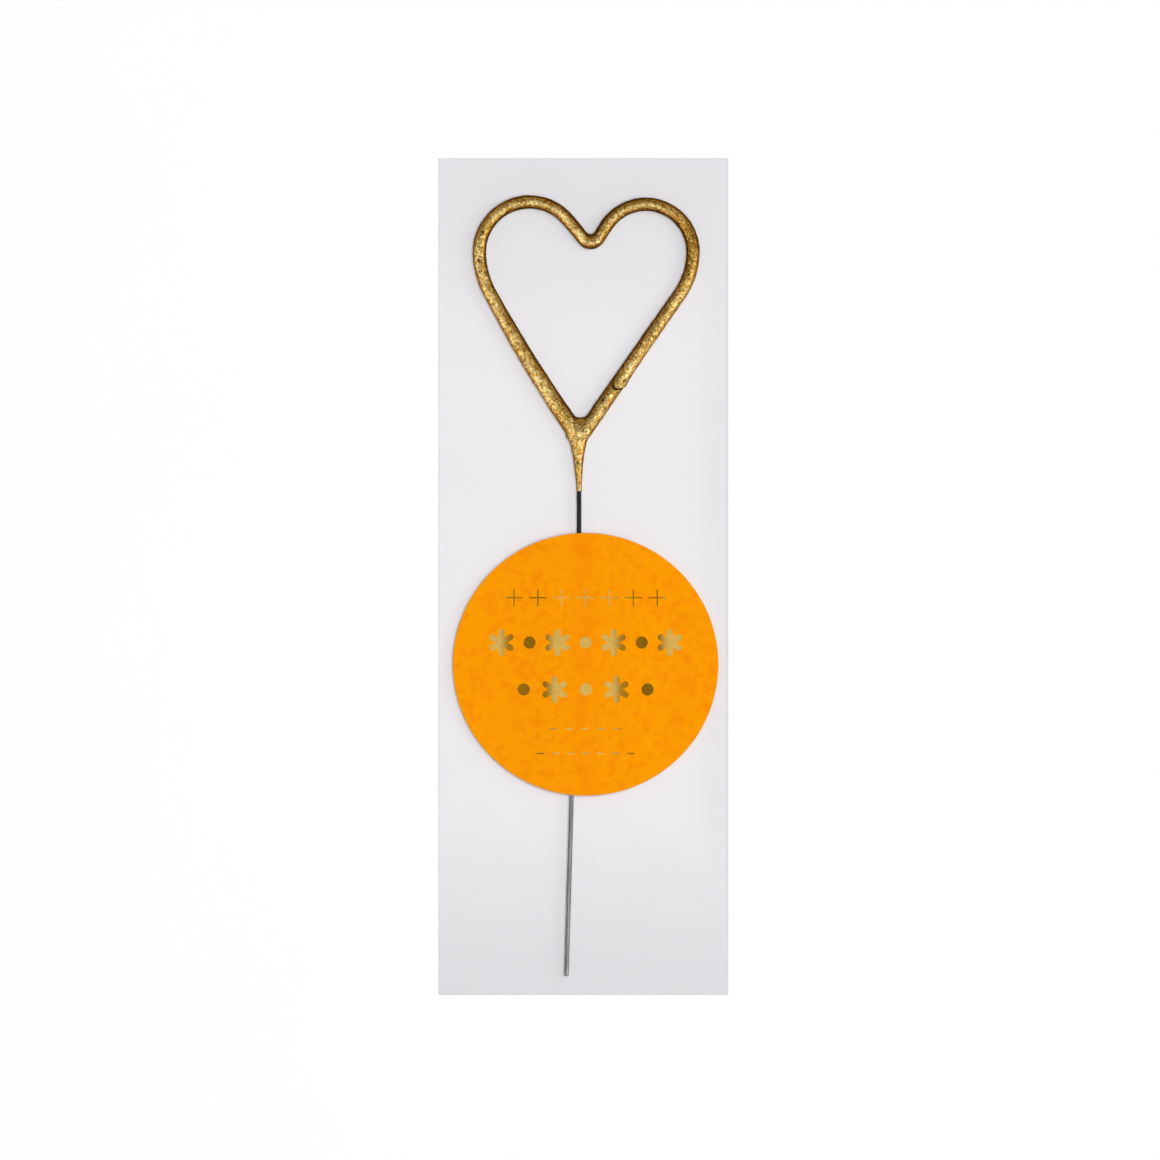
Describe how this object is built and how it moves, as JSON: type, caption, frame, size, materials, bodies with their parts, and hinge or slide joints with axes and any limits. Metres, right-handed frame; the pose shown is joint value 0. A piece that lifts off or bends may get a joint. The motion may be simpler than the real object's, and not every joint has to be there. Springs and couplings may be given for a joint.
{
  "type": "sparkler",
  "caption": "Heart-shaped gold cake sparkler on a bare steel wire stem, held under a round arched paper label on a white backing card.",
  "frame": {"origin": "middle of the backing card's back face, which the part lies on", "axes": "+Z out of the card's face, +Y along the card towards the heart, +X across the card"},
  "size_m": [0.0692, 0.2, 0.0049],
  "materials": {
    "white_board": "uncoated",
    "orange_paper": "uncoated",
    "gold_foil": "polished",
    "pad_foam": "matte",
    "wire_steel": "drawn",
    "spark_mix": "matte",
    "gold_paint": "glitter"
  },
  "bodies": {
    "card": {"backing_card": "white_board", "label_disc": "orange_paper", "label_foil": "gold_foil", "foam_pad_left": "pad_foam", "foam_pad_right": "pad_foam"},
    "sparkler": {"core_wire": "wire_steel", "spark_composition": "spark_mix", "gold_coat": "gold_paint"}
  },
  "joints": [
    {"name": "sparkler_slide", "type": "slide", "parent": "card", "child": "sparkler", "axis": [0.0291, 0.9996, 0], "range_m": [-0.008, 0.11]}
  ]
}
